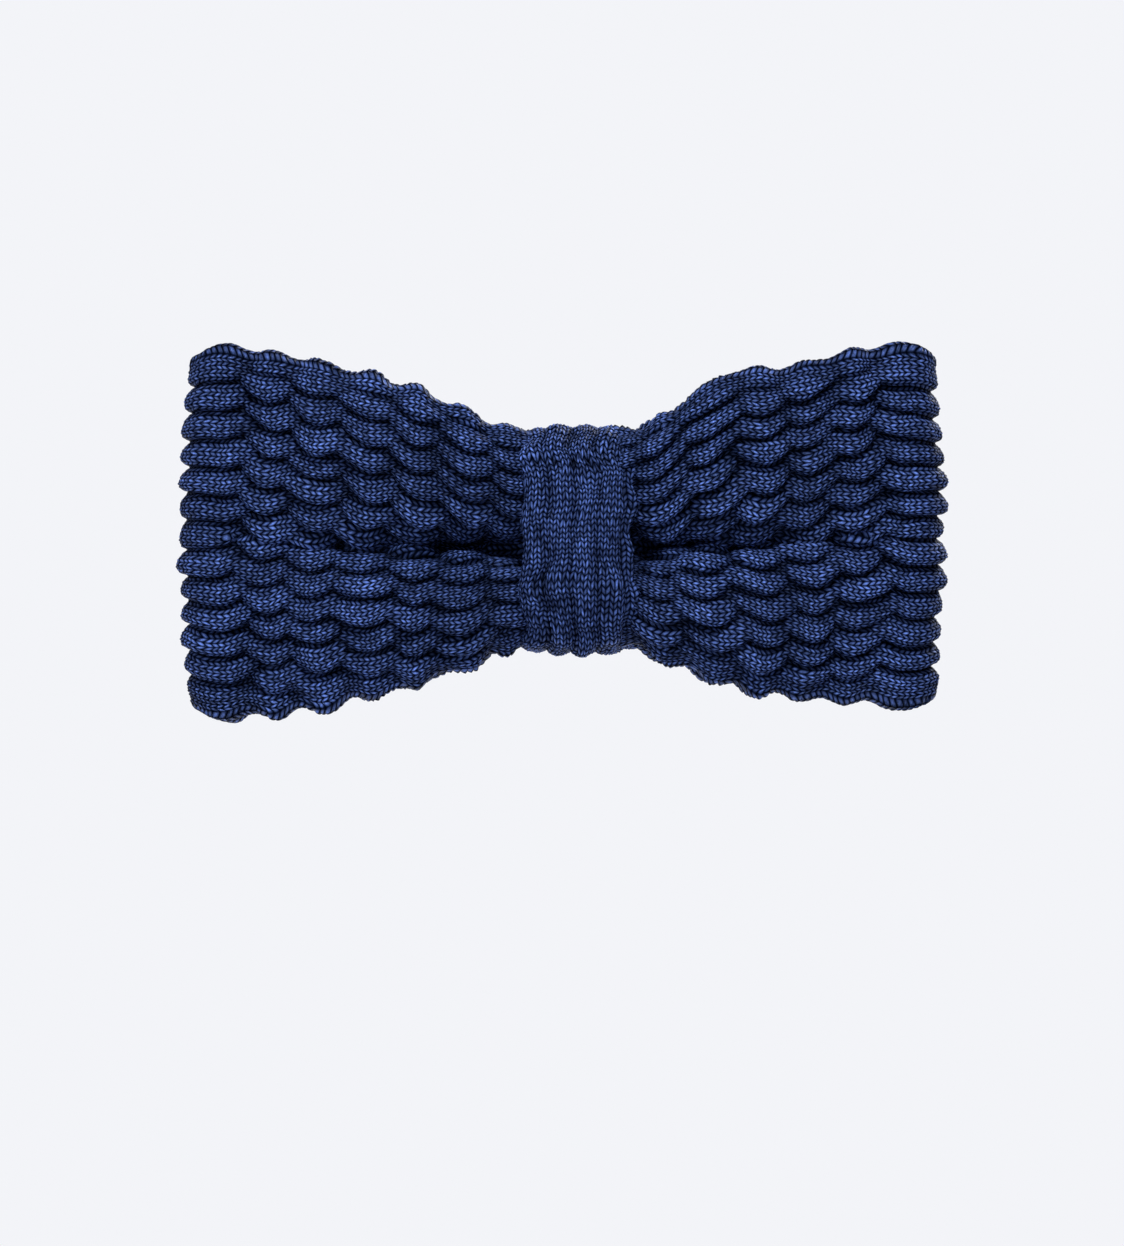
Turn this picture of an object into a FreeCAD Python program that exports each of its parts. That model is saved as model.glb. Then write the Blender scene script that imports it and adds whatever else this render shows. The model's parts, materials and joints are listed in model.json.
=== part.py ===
import FreeCAD
import Part

import math
import os

# A pre-tied knitted bow tie on an adjustable neckband, hooked closed as it is worn.
# Millimetres.  +Z is up and the face of the bow looks along -Y.
# The origin is on the neck's axis, at the middle of the band's height.
# Every part of the neckband lies on a ring round that axis.  A place on the ring is a radius and
# a bearing: degrees from straight behind the neck (+Y), turning towards -X.
# The parts of the bow are drawn about the middle of the pinch and then moved out to the ring.

Vector = FreeCAD.Vector
UP = Vector(0, 0, 1)

# The neck and the band
NECK_RADIUS = 60.0
BOW_TO_NECK = 11.5
BOW_TO_AXIS = NECK_RADIUS + BOW_TO_NECK
BAND_HEIGHT = 18.0
BAND_THICKNESS = 1.5
HALF_BAND = BAND_HEIGHT / 2

# Radii of the band's centre line
ON_NECK = NECK_RADIUS + BAND_THICKNESS / 2
IN_KNOT = ON_NECK + 2.6
IN_SLIDER = ON_NECK + 1.8

# The metal fittings
METAL = 0.9
BAR_RADIUS = 0.6
BAR_CLEARANCE = 0.15
SLOT_LENGTH = 3.5
FITTING_HALF_HEIGHT = 11.2
SLOT_HALF_HEIGHT = 9.5
TURN_RADIUS = BAR_RADIUS + BAR_CLEARANCE + BAND_THICKNESS / 2

EYE_BEARING = 347.0
EYE_BAR_RADIUS = IN_SLIDER + TURN_RADIUS
EYE_LENGTH = 12.5
EYE_BAR_WIDTH = 2.0
EYE_WINDOW = (5.5, 10.5)
EYE_WINDOW_HALF_HEIGHT = 5.0

HOOK_BEARING = 366.0
HOOK_BAR_RADIUS = EYE_BAR_RADIUS + METAL + 0.4
HOOK_TONGUE = (7.9, 8.8)
HOOK_TONGUE_HALF_HEIGHT = 4.0
HOOK_TONGUE_TIP = EYE_BAR_RADIUS - 2.45
HOOK_NECK_HALF_HEIGHT = 6.0

FLEX_BEARING = 392.0
FLEX_GAP = 0.55

SLIDER_BEARING = 300.0
SLIDER_HALF_LENGTH = 5.5
SLIDER_END_BAR = 1.8
SLIDER_BRIDGE_HALF = 1.0
SLIDER_METAL = 0.8
SLIDER_CLEARANCE = 0.2
TAIL_BEARING = 288.0
RUN_GAP = 0.4

# How far the fittings' corners are rounded, and the longest edge that counts as a corner
PLATE_CORNER = 0.8
LONGEST_CORNER = 1.0

# The band's runs between its ends, as (bearing, radius of the centre line)
ROUND_THE_NECK = [(42, IN_SLIDER), (56, ON_NECK), (147, ON_NECK), (162, IN_KNOT), (198, IN_KNOT),
                  (213, ON_NECK), (278, ON_NECK), (290, IN_SLIDER)]
EYE_FOLD_BEARINGS = (343, 335)
HOOK_RISE_BEARINGS = (391, 382)
HOOK_FOLD_BEARINGS = (368, 374, 381)
HOOK_FOLD_GAP = 0.15

# The stitches
THREAD = 0.44
THREAD_CLEARANCE = 0.03
HEM_STITCH = 2.0
HEM_STITCHES = 6
HEM_MARGIN = 1.0
HOOK_HEM_BEARINGS = (376.5, 379.5)
TAIL_HEM_BEARING = TAIL_BEARING + 2.2
STRIP_SEAM_X = 5.9
STRIP_STITCH = 2.4
KNOT_STITCH = 2.2
KNOT_STITCH_PITCH = 2.0
THREAD_TURNS = 7

# Each wing from the front: x at its end, its shoulder and its corner, then the heights of its
# top and bottom edges beside the knot, at the shoulder and at the corner
LEFT_WING = {"end": -62.0, "shoulder": -21.0, "corner": -57.0,
             "top": (15.4, 21.2, 30.2), "bottom": (-15.2, -21.0, -28.0)}
RIGHT_WING = {"end": 57.6, "shoulder": 21.0, "corner": 53.0,
              "top": (15.4, 23.2, 30.2), "bottom": (-15.2, -20.6, -26.2)}
FLARE = (0.55, 0.18)
WING_START = 10.2
WING_CORNER = 5.0
# The loop in plan, as (share of the way to the wing's end, y)
TIP_Y = 0.6
WING_FRONT = [(0.0, -9.2), (0.17, -11.2), (0.5, -9.2), (0.83, -5.4), (0.97, -2.4)]
WING_BACK = [(0.97, 3.4), (0.72, 5.6), (0.42, 6.8), (0.17, 7.0), (0.0, 6.4)]
HOLLOW = [(0.09, -1.5), (0.25, -7.4), (0.6, -5.2), (0.88, -1.6), (0.935, 0.6), (0.88, 2.2),
          (0.6, 3.2), (0.25, 4.0)]
STIFFENER_FRONT = [(0.26, -6.9), (0.45, -6.1), (0.6, -4.8), (0.76, -3.0)]
STIFFENER_THICKNESS = 0.7
STIFFENER_SHARE = 0.8
PLEAT_SHARE = 0.7
PLEAT_FLOOR = -8.4
PLEAT_HALF_HEIGHT = 1.3
BEYOND = 40.0

# The pinch in the middle of the bow and the knot round it
KNOT_HALF_WIDTH = 9.0
KNOT_HALF_HEIGHT = 17.4
KNOT_FRONT = -12.6
KNOT_THICKNESS = 1.9
KNOT_CORNER = 5.0
KNOT_BACK_RADIUS = NECK_RADIUS + 0.6
KNOT_CHANNEL_RADIUS = KNOT_BACK_RADIUS + 1.7
PINCH_HALF_WIDTH = 9.6
PINCH_HALF_HEIGHT = 14.9
PINCH_FRONT, PINCH_BACK = -9.2, 6.4
WAIST_HALF_WIDTH = 3.6
WAIST_DEPTH = 0.8
GATHER_CORNER = 4.0
CORE_CORNER = 3.4
PAD_THICKNESS = 1.1
PAD_HALF_WIDTH = 8.0
PAD_HALF_HEIGHT = 11.0
PAD_CORNER = 3.0
PAD_GAP = 0.15


def place(radius, bearing, z=0.0):
    """The point on the ring at that radius and bearing."""
    turn = math.radians(bearing)
    return Vector(-radius * math.sin(turn), radius * math.cos(turn), z)


def degrees_for(length, radius):
    """The change of bearing that a length along the ring makes."""
    return math.degrees(length / radius)


def arc(radius, start, end):
    """An arc of the ring, from one bearing to another."""
    middle = place(radius, (start + end) / 2)
    return Part.Arc(place(radius, start), middle, place(radius, end)).toShape()


def drift(radius, start, new_radius, end):
    """A smooth curve from one radius of the ring to another."""
    points = []
    for step in range(13):
        share = step / 12
        eased = share * share * (3 - 2 * share)
        points.append(place(radius + (new_radius - radius) * eased, start + (end - start) * share))
    curve = Part.BSplineCurve()
    curve.interpolate(points)
    return curve.toShape()


def run(path, offset):
    """The edges along a path of (bearing, radius) stops, moved outwards by offset."""
    edges = []
    for (start, radius), (end, new_radius) in zip(path, path[1:]):
        if radius == new_radius:
            edges.append(arc(radius + offset, start, end))
        else:
            edges.append(drift(radius + offset, start, new_radius + offset, end))
    return edges


def turn(bar_radius, bearing, turn_radius, direction):
    """The half circle in which a band turns round a fitting's bar."""
    centre = place(bar_radius, bearing)
    ahead = (place(bar_radius, bearing + direction) - centre).normalize()
    inner = place(bar_radius - turn_radius, bearing)
    outer = place(bar_radius + turn_radius, bearing)
    return Part.Arc(inner, centre + ahead * turn_radius, outer).toShape()


def prism(edges, low, high):
    """A solid with that outline in plan, between two heights."""
    wire = Part.Wire(Part.__sortEdges__(edges))
    wire.translate(Vector(0, 0, low))
    return Part.Face(wire).extrude(UP * (high - low))


def sector(inner, outer, start, end, low, high):
    """A piece of the ring between two radii, two bearings and two heights."""
    edges = [
        arc(inner, start, end),
        Part.makeLine(place(inner, end), place(outer, end)),
        arc(outer, end, start),
        Part.makeLine(place(outer, start), place(inner, start)),
    ]
    return prism(edges, low, high)


def rail_pair(inner, outer, start, end):
    """The two side rails of a fitting, above and below the band."""
    top = sector(inner, outer, start, end, SLOT_HALF_HEIGHT, FITTING_HALF_HEIGHT)
    bottom = sector(inner, outer, start, end, -FITTING_HALF_HEIGHT, -SLOT_HALF_HEIGHT)
    return [top, bottom]


def upright_bar(radius, bearing):
    """The round bar of a fitting that the band turns round."""
    foot = place(radius, bearing, -FITTING_HALF_HEIGHT)
    return Part.makeCylinder(BAR_RADIUS, 2 * FITTING_HALF_HEIGHT, foot, UP)


def joined(shapes):
    """One clean solid from shapes that touch."""
    return shapes[0].multiFuse(shapes[1:]).removeSplitter()


def stamped(fitting):
    """A fitting with the corners of its plates rounded."""
    corners = []
    for edge in fitting.Edges:
        end = edge.Vertexes[0].Point
        outwards = Vector(end.x, end.y, 0).normalize()
        straight = edge.Curve.TypeId == "Part::GeomLine"
        if straight and edge.Length < LONGEST_CORNER and \
                abs(edge.tangentAt(edge.FirstParameter).dot(outwards)) > 0.999:
            corners.append(edge)
    return fitting.makeFillet(PLATE_CORNER, corners)


def looped_band(path, bar_radius, bearing, tail, direction):
    """A band that follows path, turns round a bar and comes back along tail."""
    half = BAND_THICKNESS / 2
    near, far = path[0], tail[-1]
    edges = run(path, -half) + run(path, half) + run(tail, -half) + run(tail, half)
    edges.append(turn(bar_radius, bearing, TURN_RADIUS + half, direction))
    edges.append(turn(bar_radius, bearing, TURN_RADIUS - half, direction))
    for stop, radius in (near, far):
        edges.append(Part.makeLine(place(radius - half, stop), place(radius + half, stop)))
    return prism(edges, -HALF_BAND, HALF_BAND)


def neckband():
    """The band from the flex point, through the knot, round the eye's bar and back."""
    gap = degrees_for(FLEX_GAP, IN_SLIDER)
    first, last = (FLEX_BEARING - 360 + gap, IN_SLIDER), (EYE_BEARING, IN_SLIDER)
    folded = IN_SLIDER + BAND_THICKNESS + RUN_GAP
    apart = EYE_BAR_RADIUS + TURN_RADIUS
    closing, closed = EYE_FOLD_BEARINGS
    path = [first, *ROUND_THE_NECK, last]
    tail = [(EYE_BEARING, apart), (closing, apart), (closed, folded), (TAIL_BEARING, folded)]
    return looped_band(path, EYE_BAR_RADIUS, EYE_BEARING, tail, 1)


def neckband_hook_end():
    """The short end of the band that holds the hook, folded back on itself."""
    gap = degrees_for(FLEX_GAP, IN_SLIDER)
    under = HOOK_BAR_RADIUS - TURN_RADIUS
    over = HOOK_BAR_RADIUS + TURN_RADIUS
    folded = under + BAND_THICKNESS + HOOK_FOLD_GAP
    leaving, risen = HOOK_RISE_BEARINGS
    closing, closed, end = HOOK_FOLD_BEARINGS
    path = [(FLEX_BEARING - gap, IN_SLIDER), (leaving, IN_SLIDER), (risen, under),
            (HOOK_BEARING, under)]
    tail = [(HOOK_BEARING, over), (closing, over), (closed, folded), (end, folded)]
    return looped_band(path, HOOK_BAR_RADIUS, HOOK_BEARING, tail, -1)


def eye():
    """The frame that the hook drops into: a bar for the band, a slot, and a window."""
    inner, outer = EYE_BAR_RADIUS - METAL / 2, EYE_BAR_RADIUS + METAL / 2

    def at(length):
        return EYE_BEARING + degrees_for(length, EYE_BAR_RADIUS)

    plate = sector(inner, outer, at(SLOT_LENGTH), at(EYE_LENGTH),
                   -FITTING_HALF_HEIGHT, FITTING_HALF_HEIGHT)
    window = sector(inner - 1, outer + 1, at(EYE_WINDOW[0]), at(EYE_WINDOW[1]),
                    -EYE_WINDOW_HALF_HEIGHT, EYE_WINDOW_HALF_HEIGHT)
    rails = rail_pair(inner, outer, at(0), at(SLOT_LENGTH))
    return stamped(joined([plate.cut(window), upright_bar(EYE_BAR_RADIUS, EYE_BEARING)] + rails))


def hook():
    """The hook plate: a bar for the band, a slot, a narrowing plate and the tongue."""
    inner, outer = HOOK_BAR_RADIUS - METAL / 2, HOOK_BAR_RADIUS + METAL / 2
    slot_end = HOOK_BEARING - degrees_for(SLOT_LENGTH, HOOK_BAR_RADIUS)
    neck_start = slot_end - degrees_for(2 * METAL, HOOK_BAR_RADIUS)
    tongue_start = EYE_BEARING + degrees_for(HOOK_TONGUE[0], EYE_BAR_RADIUS)
    tongue_end = EYE_BEARING + degrees_for(HOOK_TONGUE[1], EYE_BAR_RADIUS)
    cross_bar = sector(inner, outer, slot_end, neck_start,
                       -FITTING_HALF_HEIGHT, FITTING_HALF_HEIGHT)
    neck = sector(inner, outer, neck_start, tongue_start,
                  -HOOK_NECK_HALF_HEIGHT, HOOK_NECK_HALF_HEIGHT)
    tongue = sector(HOOK_TONGUE_TIP, outer, tongue_end, tongue_start,
                    -HOOK_TONGUE_HALF_HEIGHT, HOOK_TONGUE_HALF_HEIGHT)
    rails = rail_pair(inner, outer, HOOK_BEARING, slot_end)
    bar = upright_bar(HOOK_BAR_RADIUS, HOOK_BEARING)
    return stamped(joined([cross_bar, neck, tongue, bar] + rails))


def slider():
    """The slide: end bars on the neck side of the band and a raised bridge outside it."""
    half_band = BAND_THICKNESS / 2
    inside = IN_SLIDER - half_band - SLIDER_CLEARANCE
    outside = IN_SLIDER + half_band + RUN_GAP + BAND_THICKNESS + SLIDER_CLEARANCE
    foot, top = inside - SLIDER_METAL, outside + SLIDER_METAL
    reach = degrees_for(SLIDER_HALF_LENGTH, inside)
    end_bar = degrees_for(SLIDER_END_BAR, inside)
    bridge = degrees_for(SLIDER_BRIDGE_HALF, inside)
    first, last = SLIDER_BEARING - reach, SLIDER_BEARING + reach
    pieces = rail_pair(foot, inside, first, last)
    pieces += rail_pair(foot, top, SLIDER_BEARING - bridge, SLIDER_BEARING + bridge)
    for start in (first, last - end_bar):
        pieces.append(sector(foot, inside, start, start + end_bar,
                             -FITTING_HALF_HEIGHT, FITTING_HALF_HEIGHT))
    pieces.append(sector(outside, top, SLIDER_BEARING - bridge, SLIDER_BEARING + bridge,
                         -FITTING_HALF_HEIGHT, FITTING_HALF_HEIGHT))
    return stamped(joined(pieces))


def hem(surface, bearings):
    """Rows of short upright stitches on the outside of the band."""
    pitch = (BAND_HEIGHT - 2 * HEM_MARGIN) / HEM_STITCHES
    threads = []
    for bearing in bearings:
        for index in range(HEM_STITCHES):
            low = -HALF_BAND + HEM_MARGIN + pitch * index + (pitch - HEM_STITCH) / 2
            foot = place(surface + THREAD / 2 + THREAD_CLEARANCE, bearing, low)
            threads.append(Part.makeCylinder(THREAD / 2, HEM_STITCH, foot, UP))
    return Part.makeCompound(threads)


def hook_end_stitching():
    """Two rows of stitches that hold the folded end of the band."""
    surface = HOOK_BAR_RADIUS - TURN_RADIUS + BAND_THICKNESS * 1.5 + HOOK_FOLD_GAP
    return hem(surface, HOOK_HEM_BEARINGS)


def tail_stitching():
    """The hem at the free end of the band."""
    surface = IN_SLIDER + BAND_THICKNESS * 1.5 + RUN_GAP
    return hem(surface, (TAIL_HEM_BEARING,))


def spline_wire(points):
    """A closed smooth outline in plan through points."""
    curve = Part.BSplineCurve()
    curve.interpolate([Vector(x, y, 0) for x, y in points], PeriodicFlag=True)
    return Part.Wire(curve.toShape())


def wing_x(wing, share):
    """The x at a share of the way from the knot to the wing's end."""
    start = math.copysign(WING_START, wing["end"])
    return start + (wing["end"] - start) * share


def wing_outline(wing, share=1.0):
    """The wing from the front, as a block that reaches right through the bow."""
    side = math.copysign(1, wing["end"])
    stations = (side * PINCH_HALF_WIDTH, wing["shoulder"], wing["corner"])
    inset = wing["end"] - side
    waist = (wing["corner"] + 3 * inset) / 4

    def at(x, z):
        return Vector(x, -BEYOND, z * share)

    edges = []
    shoulders = []
    for name, inwards in (("top", -1), ("bottom", 1)):
        heights = wing[name]
        leaving, arriving = (Vector(side, 0, -inwards * slope) for slope in FLARE)
        curve = Part.BSplineCurve()
        curve.interpolate([at(x, z) for x, z in zip(stations, heights)],
                          InitialTangent=leaving, FinalTangent=arriving)
        corner = at(stations[-1], heights[-1])
        middle = at(waist, heights[-1] + inwards * WING_CORNER * 0.3)
        shoulder = at(inset, heights[-1] + inwards * WING_CORNER)
        edges += [curve.toShape(), Part.Arc(corner, middle, shoulder).toShape()]
        shoulders.append(shoulder)
    edges.append(Part.Arc(shoulders[0], at(wing["end"], 0), shoulders[1]).toShape())
    edges.append(Part.makeLine(at(stations[0], wing["top"][0]), at(stations[0], wing["bottom"][0])))
    face = Part.Face(Part.Wire(Part.__sortEdges__(edges)))
    return face.extrude(Vector(0, 2 * BEYOND, 0))


def pleat(wing):
    """The fold along the middle of a wing's face, deep at the knot and fading outwards."""
    start, end = wing_x(wing, 0), wing_x(wing, PLEAT_SHARE)
    corners = [Vector(start, -BEYOND, PLEAT_HALF_HEIGHT), Vector(end, -BEYOND, 0),
               Vector(start, -BEYOND, -PLEAT_HALF_HEIGHT)]
    face = Part.Face(Part.makePolygon(corners + corners[:1]))
    return face.extrude(Vector(0, BEYOND + PLEAT_FLOOR, 0))


def wing_loop(wing):
    """The strip's loop in one wing: a front layer, a fold at the end and a back layer."""
    low, high = -BEYOND, 2 * BEYOND
    plan = [(wing_x(wing, share), y) for share, y in WING_FRONT]
    plan.append((wing["end"], TIP_Y))
    plan += [(wing_x(wing, share), y) for share, y in WING_BACK]
    curve = Part.BSplineCurve()
    curve.interpolate([Vector(x, y, low) for x, y in plan])
    ends = [Vector(*plan[-1], low), Vector(*plan[0], low)]
    face = Part.Face(Part.Wire([curve.toShape(), Part.makeLine(*ends)]))
    hollow = spline_wire([(wing_x(wing, share), y) for share, y in HOLLOW])
    hollow.translate(Vector(0, 0, low))
    loop = face.extrude(UP * high).cut(Part.Face(hollow).extrude(UP * high))
    return loop.common(wing_outline(wing)).cut(pleat(wing))


def rounded_block(half_width, low_y, high_y, half_height, corner):
    """A block across the bow with its long edges rounded."""
    block = Part.makeBox(2 * half_width, high_y - low_y, 2 * half_height,
                         Vector(-half_width, low_y, -half_height))
    long_edges = [e for e in block.Edges if abs(e.tangentAt(e.FirstParameter).x) > 0.9]
    return block.makeFillet(corner, long_edges)


def bow_strip():
    """The knitted strip: two wing loops and the gathered pinch between them."""
    pinch = rounded_block(WING_START + 0.3, PINCH_FRONT, PINCH_BACK, PINCH_HALF_HEIGHT,
                          GATHER_CORNER)
    waist = rounded_block(WAIST_HALF_WIDTH, -BEYOND, BEYOND, BEYOND, 1.0)
    core = rounded_block(2 * WAIST_HALF_WIDTH, PINCH_FRONT + WAIST_DEPTH, PINCH_BACK - WAIST_DEPTH,
                         PINCH_HALF_HEIGHT - WAIST_DEPTH, CORE_CORNER)
    gathered = pinch.cut(waist.cut(core))
    return joined([gathered, wing_loop(LEFT_WING), wing_loop(RIGHT_WING)])


def stiffener(wing):
    """The thin felt sheet behind a wing's front layer."""
    front = [(wing_x(wing, share), y) for share, y in STIFFENER_FRONT]
    back = [(x, y + STIFFENER_THICKNESS) for x, y in reversed(front)]
    edges = []
    for side in (front, back):
        curve = Part.BSplineCurve()
        curve.interpolate([Vector(x, y, 0) for x, y in side])
        edges.append(curve.toShape())
    edges.append(Part.makeLine(Vector(*front[-1], 0), Vector(*back[0], 0)))
    edges.append(Part.makeLine(Vector(*back[-1], 0), Vector(*front[0], 0)))
    sheet = prism(edges, -BEYOND, BEYOND)
    return sheet.common(wing_outline(wing, STIFFENER_SHARE))


def pinch_thread():
    """The turns of thread that gather the strip at its waist."""
    front = PINCH_FRONT + WAIST_DEPTH - THREAD_CLEARANCE
    back = PINCH_BACK - WAIST_DEPTH + THREAD_CLEARANCE
    height = PINCH_HALF_HEIGHT - WAIST_DEPTH + THREAD_CLEARANCE
    outer = rounded_block(THREAD / 2, front - THREAD, back + THREAD, height + THREAD,
                          CORE_CORNER + THREAD)
    inner = rounded_block(THREAD, front, back, height, CORE_CORNER)
    turns = []
    for index in range(THREAD_TURNS):
        loop = outer.cut(inner)
        loop.translate(Vector((index - THREAD_TURNS // 2) * 2 * THREAD, 0, 0))
        turns.append(loop)
    return Part.makeCompound(turns)


def strip_end_seam():
    """The stitches that join the strip's two ends behind the pinch."""
    threads = []
    for index in range(-4, 5):
        foot = Vector(STRIP_SEAM_X, PINCH_BACK + THREAD / 2 + THREAD_CLEARANCE,
                      STRIP_STITCH * index)
        threads.append(Part.makeCylinder(THREAD / 2, STRIP_STITCH, foot, Vector(1, 0, 0)))
    return Part.makeCompound(threads)


def knot_padding():
    """The felt pad that rounds the face of the knot."""
    back = PINCH_FRONT - PAD_GAP
    pad = Part.makeBox(2 * PAD_HALF_WIDTH, PAD_THICKNESS, 2 * PAD_HALF_HEIGHT,
                       Vector(-PAD_HALF_WIDTH, back - PAD_THICKNESS, -PAD_HALF_HEIGHT))
    corners = [e for e in pad.Edges if abs(e.tangentAt(e.FirstParameter).y) > 0.9]
    return pad.makeFillet(PAD_CORNER, corners)


def knot_band():
    """The short knitted band wrapped round the pinch, with room for the neckband."""
    deep = 2 * BOW_TO_NECK
    inset = KNOT_THICKNESS
    outer = rounded_block(KNOT_HALF_WIDTH, KNOT_FRONT, deep, KNOT_HALF_HEIGHT, KNOT_CORNER)
    inner = rounded_block(KNOT_HALF_WIDTH + 1, KNOT_FRONT + inset, deep,
                          KNOT_HALF_HEIGHT - inset, KNOT_CORNER - inset + 0.5)
    neck = Vector(0, BOW_TO_AXIS, -50)
    cavity = inner.cut(Part.makeCylinder(KNOT_CHANNEL_RADIUS, 100, neck, UP))
    return outer.cut(Part.makeCylinder(KNOT_BACK_RADIUS, 100, neck, UP)).cut(cavity)


def knot_seam():
    """The upright stitches across the knot band's closed ends, next to the neck."""
    radius = KNOT_BACK_RADIUS - THREAD / 2 - THREAD_CLEARANCE
    threads = []
    for index in range(-3, 4):
        turned = degrees_for(KNOT_STITCH_PITCH, radius) * index
        foot = place(radius, 180 + turned, -KNOT_STITCH / 2) + Vector(0, BOW_TO_AXIS, 0)
        threads.append(Part.makeCylinder(THREAD / 2, KNOT_STITCH, foot, UP))
    return Part.makeCompound(threads)


def bow_parts():
    """The parts of the bow, about the middle of the pinch."""
    return {
        "bow_strip": bow_strip(),
        "left_stiffener": stiffener(LEFT_WING),
        "right_stiffener": stiffener(RIGHT_WING),
        "pinch_thread": pinch_thread(),
        "strip_end_seam": strip_end_seam(),
        "knot_padding": knot_padding(),
        "knot_band": knot_band(),
        "knot_seam": knot_seam(),
    }


def band_parts():
    """The neckband and its fittings, on the ring."""
    return {
        "neckband": neckband(),
        "neckband_hook_end": neckband_hook_end(),
        "hook": hook(),
        "eye": eye(),
        "slider": slider(),
        "hook_end_stitching": hook_end_stitching(),
        "tail_stitching": tail_stitching(),
    }


def main():
    bow = bow_parts()
    for shape in bow.values():
        shape.translate(Vector(0, -BOW_TO_AXIS, 0))
    os.makedirs("parts", exist_ok=True)
    for name, shape in {**bow, **band_parts()}.items():
        shape.exportStep(f"parts/{name}.step")


main()
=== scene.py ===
import json
import math

import bpy
import numpy as np
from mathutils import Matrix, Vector


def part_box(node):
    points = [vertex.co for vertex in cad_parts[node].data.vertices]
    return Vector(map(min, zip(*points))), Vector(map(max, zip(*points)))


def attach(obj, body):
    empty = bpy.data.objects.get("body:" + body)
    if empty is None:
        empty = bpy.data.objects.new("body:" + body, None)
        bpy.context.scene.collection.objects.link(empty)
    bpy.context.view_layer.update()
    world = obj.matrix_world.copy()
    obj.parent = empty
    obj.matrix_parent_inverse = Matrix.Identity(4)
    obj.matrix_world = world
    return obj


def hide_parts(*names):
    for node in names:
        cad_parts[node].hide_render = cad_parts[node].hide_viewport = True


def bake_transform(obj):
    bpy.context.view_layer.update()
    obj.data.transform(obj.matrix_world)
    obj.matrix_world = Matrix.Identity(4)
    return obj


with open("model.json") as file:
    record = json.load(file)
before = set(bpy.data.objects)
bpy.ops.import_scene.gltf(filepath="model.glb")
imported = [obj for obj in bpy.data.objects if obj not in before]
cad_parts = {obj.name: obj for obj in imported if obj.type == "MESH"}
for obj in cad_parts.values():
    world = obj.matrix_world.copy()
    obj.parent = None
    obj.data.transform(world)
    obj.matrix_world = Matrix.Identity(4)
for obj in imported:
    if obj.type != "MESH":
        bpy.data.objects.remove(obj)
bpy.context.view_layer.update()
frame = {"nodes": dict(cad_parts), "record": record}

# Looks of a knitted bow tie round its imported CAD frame. Lengths are millimetres, which
# mesh_piece() turns into metres, apart from those of the studio, which are metres. -Y is the
# bow's face, +Z is up, the origin is on the neck's axis, and a bearing is degrees from +Y
# turning towards -X.
MM = 0.001
TAU = 2 * math.pi


def corners(node):
    """Lowest and highest corner of a CAD node, in millimetres."""
    return [np.array(corner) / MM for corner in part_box(node)]


NECK_RADIUS = frame["record"]["mounts"][0]["dims"]["r_mm"]
STRIP_LOW, STRIP_HIGH = corners("bow_strip")
KNOT_LOW, KNOT_HIGH = corners("knot_band")
RIBBON_LOW, RIBBON_HIGH = corners("neckband")
KNOT_HALF_WIDTH = KNOT_HIGH[0]
KNOT_HALF_HEIGHT = KNOT_HIGH[2]
# The bow's own y values are measured from the middle of its pinch, behind the face of the knot
PINCH_DEPTH = 12.6
BOW_Y = KNOT_LOW[1] + PINCH_DEPTH

# The knit: wales run along the strip, four to a cord
STITCH = 0.94
WALES_PER_CORD = 4
# A stitch is two legs. They slant by so many stitches a wale, their place and half width are
# shares of a wale, and their heights lie between two shares of the stitches' relief.
LEG_SLANT = 1.5
LEG_PLACE = 0.25
LEG_HALF_WIDTH = 0.27
LEG_HEIGHTS = (0.5, 1.15)
STITCH_RELIEF = 0.36
SAMPLES_PER_STITCH = 5
SAMPLES_PER_WALE = 6
# Random tables repeat after this many cells
CELLS = 64


# ---- numbers and curves

# smooth_curve spaces its points by this power of the distance between them
CHORD_POWER = 0.7
CURVE_POINTS = 4000


def ease(x):
    """0 to 1 with flat ends."""
    x = np.clip(x, 0, 1)
    return x * x * (3 - 2 * x)


def table(points, x):
    """A smooth curve through a few (x, value) points, flat beyond both ends."""
    xs, values = np.array(points, float).T
    index = np.clip(np.searchsorted(xs, x) - 1, 0, len(xs) - 2)
    slopes = np.gradient(values, xs)
    width = xs[index + 1] - xs[index]
    t = np.clip((x - xs[index]) / width, 0, 1)
    start = (1 + 2 * t) * (1 - t) ** 2 * values[index] + t * (1 - t) ** 2 * width * slopes[index]
    end = t * t * (3 - 2 * t) * values[index + 1] - t * t * (1 - t) * width * slopes[index + 1]
    return start + end


def run_lengths(path, power=1.0):
    """How far along a path each of its points is, with each step raised to a power."""
    steps = np.linalg.norm(np.diff(path, axis=0), axis=1) ** power
    return np.concatenate([[0], np.cumsum(steps)])


def along_path(path, length, places):
    """Points of a path at places along it, given the run lengths of its own points."""
    return np.stack([np.interp(places, length, axis) for axis in path.T], 1)


def smooth_curve(points, closed=False):
    """A dense smooth curve through points, and how far along it each of its own points is."""
    knots = np.array(points, float)
    if closed:
        knots = np.vstack([knots[-2:], knots, knots[:3]])
    chord = run_lengths(knots, CHORD_POWER)
    first, last = (chord[2], chord[-3]) if closed else (chord[0], chord[-1])
    fine = np.linspace(first, last, CURVE_POINTS)
    curve = np.stack([table(np.stack([chord, axis], 1), fine) for axis in knots.T], 1)
    return curve, run_lengths(curve)


def patchy(rng, u, v, size):
    """A smooth random field from -1 to 1 over coordinates u and v, with patches of that size."""
    grid = rng.uniform(-1, 1, (CELLS, CELLS))
    u, v = u / size, v / size
    i, j = np.floor(u).astype(int), np.floor(v).astype(int)
    a, b = ease(u - i), ease(v - j)

    def blended(row):
        return grid[row % CELLS, j % CELLS] * (1 - b) + grid[row % CELLS, (j + 1) % CELLS] * b

    return blended(i) * (1 - a) + blended(i + 1) * a


def bell(x, middle, width):
    """1 at the middle, falling smoothly to 0 on both sides."""
    return np.exp(-(((x - middle) / width) ** 2))


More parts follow.
